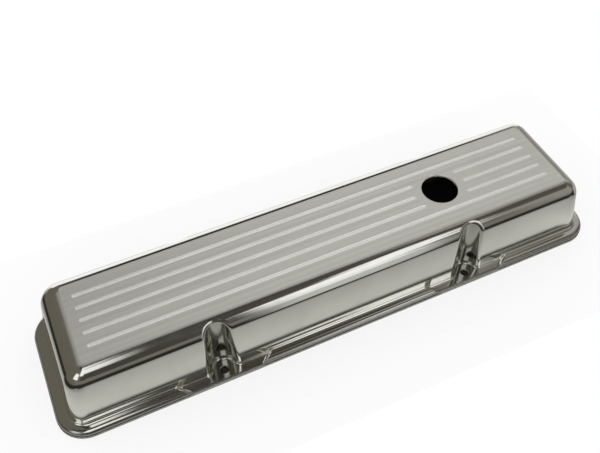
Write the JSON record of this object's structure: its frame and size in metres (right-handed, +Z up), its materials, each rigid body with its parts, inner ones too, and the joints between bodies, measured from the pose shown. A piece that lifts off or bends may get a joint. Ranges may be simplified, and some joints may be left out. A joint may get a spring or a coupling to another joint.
{
  "type": "engine valve cover",
  "caption": "Long domed valve cover pressed from polished aluminium sheet, with milled grooves, a breather hole and bolt flutes.",
  "frame": {"origin": "centre of the rim's lower edge, in the plane that the cover stands on", "axes": "+X along the cover towards the end with the breather hole, +Z up out of the top panel"},
  "size_m": [0.482, 0.1204, 0.0625],
  "materials": {
    "polished_aluminium": "mirror polished, with a fine brushed top panel"
  },
  "bodies": {
    "root": {"valve_cover": "polished_aluminium"}
  },
  "joints": []
}
